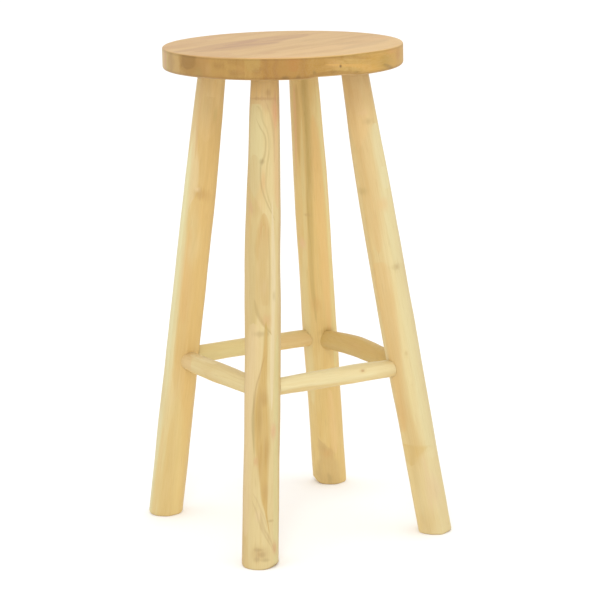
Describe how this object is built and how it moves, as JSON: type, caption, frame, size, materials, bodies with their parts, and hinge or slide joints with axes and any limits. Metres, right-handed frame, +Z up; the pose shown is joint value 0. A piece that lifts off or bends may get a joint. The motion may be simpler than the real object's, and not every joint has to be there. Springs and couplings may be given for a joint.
{
  "type": "bar stool with footrest",
  "caption": "Backless round-seat wooden bar stool with splayed, hand-shaped round legs tied by branch-like rungs that serve as a footrest.",
  "frame": {"origin": "on the floor, under the middle of the stool's outline", "axes": "+Z up, through the seat; -Y is the front, +X is to the right of someone looking along +Y"},
  "size_m": [0.321, 0.3234, 0.65],
  "materials": {
    "seat_wood": "sanded pinkish-tan teak with a clear matt oil",
    "leg_wood": "hand-shaped pale golden teak, smooth matt",
    "rung_wood": "peeled and smoothed pale teak branch, matt",
    "wedge_wood": "sawn dark teak heartwood"
  },
  "bodies": {
    "root": {"seat_board_front": "seat_wood", "seat_board_middle": "seat_wood", "seat_board_back": "seat_wood", "leg_front_left": "leg_wood", "leg_front_right": "leg_wood", "leg_back_right": "leg_wood", "leg_back_left": "leg_wood", "rung_front": "rung_wood", "rung_right": "rung_wood", "rung_back": "rung_wood", "rung_left": "rung_wood", "tenon_wedge_front_left": "wedge_wood", "tenon_wedge_front_right": "wedge_wood", "tenon_wedge_back_right": "wedge_wood", "tenon_wedge_back_left": "wedge_wood"}
  },
  "joints": []
}
